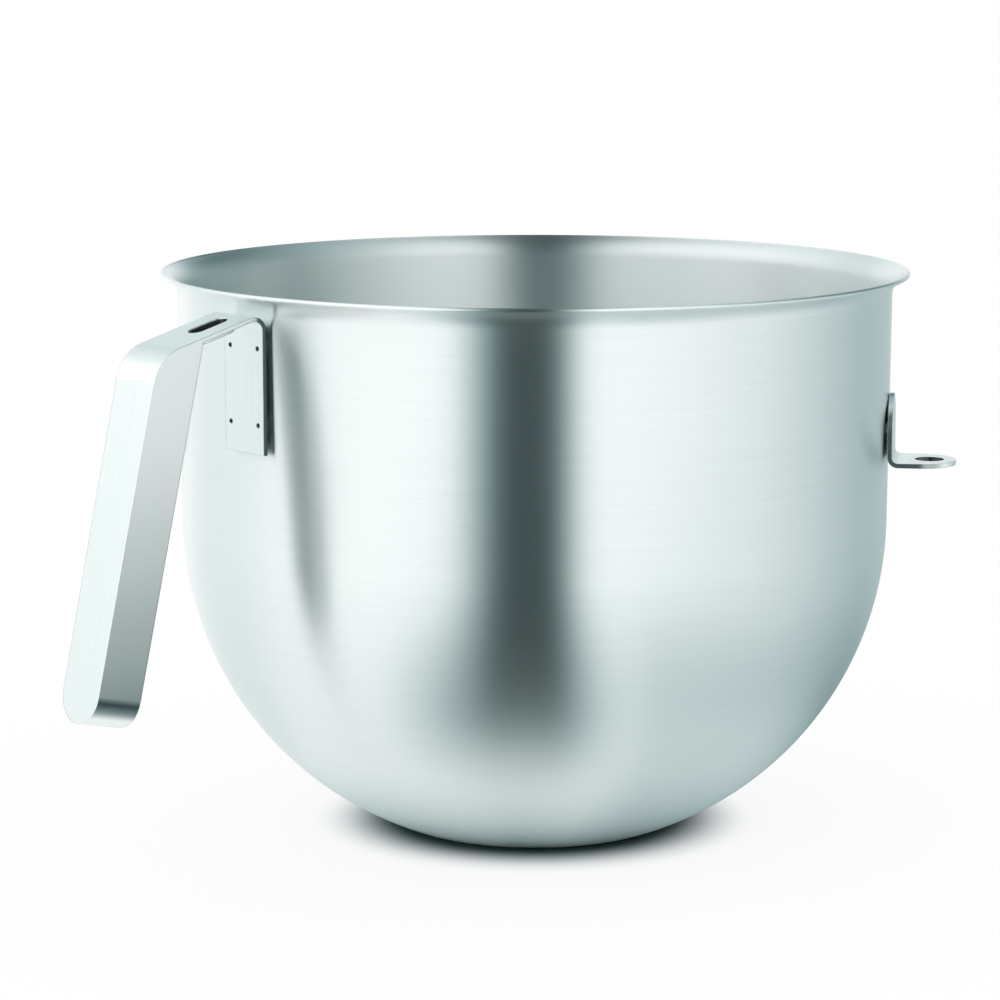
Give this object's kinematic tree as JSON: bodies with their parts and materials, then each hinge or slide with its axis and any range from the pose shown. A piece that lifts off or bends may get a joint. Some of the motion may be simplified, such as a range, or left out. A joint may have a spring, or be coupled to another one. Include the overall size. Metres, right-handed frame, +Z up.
{
  "type": "stand mixer bowl",
  "caption": "Deep stainless mixing bowl with flared rim, rounded bottom, pressed hook handle, locating brackets with holes and a rear latch pin.",
  "frame": {"origin": "centre of the flat base, on the bowl's axis", "axes": "+Z up along the bowl's axis to the mouth, -X out along the handle, +Y to the handle's right seen from outside"},
  "size_m": [0.3086, 0.2478, 0.1868],
  "materials": {
    "bowl_shell": "satin polished stainless",
    "handle": "satin polished stainless",
    "locating_bracket_right": "satin polished stainless",
    "locating_bracket_left": "satin polished stainless",
    "latch_pin": "satin polished stainless"
  },
  "bodies": {
    "root": {"bowl_shell": "bowl_shell", "handle": "handle", "locating_bracket_right": "locating_bracket_right", "locating_bracket_left": "locating_bracket_left", "latch_pin": "latch_pin"}
  },
  "joints": []
}
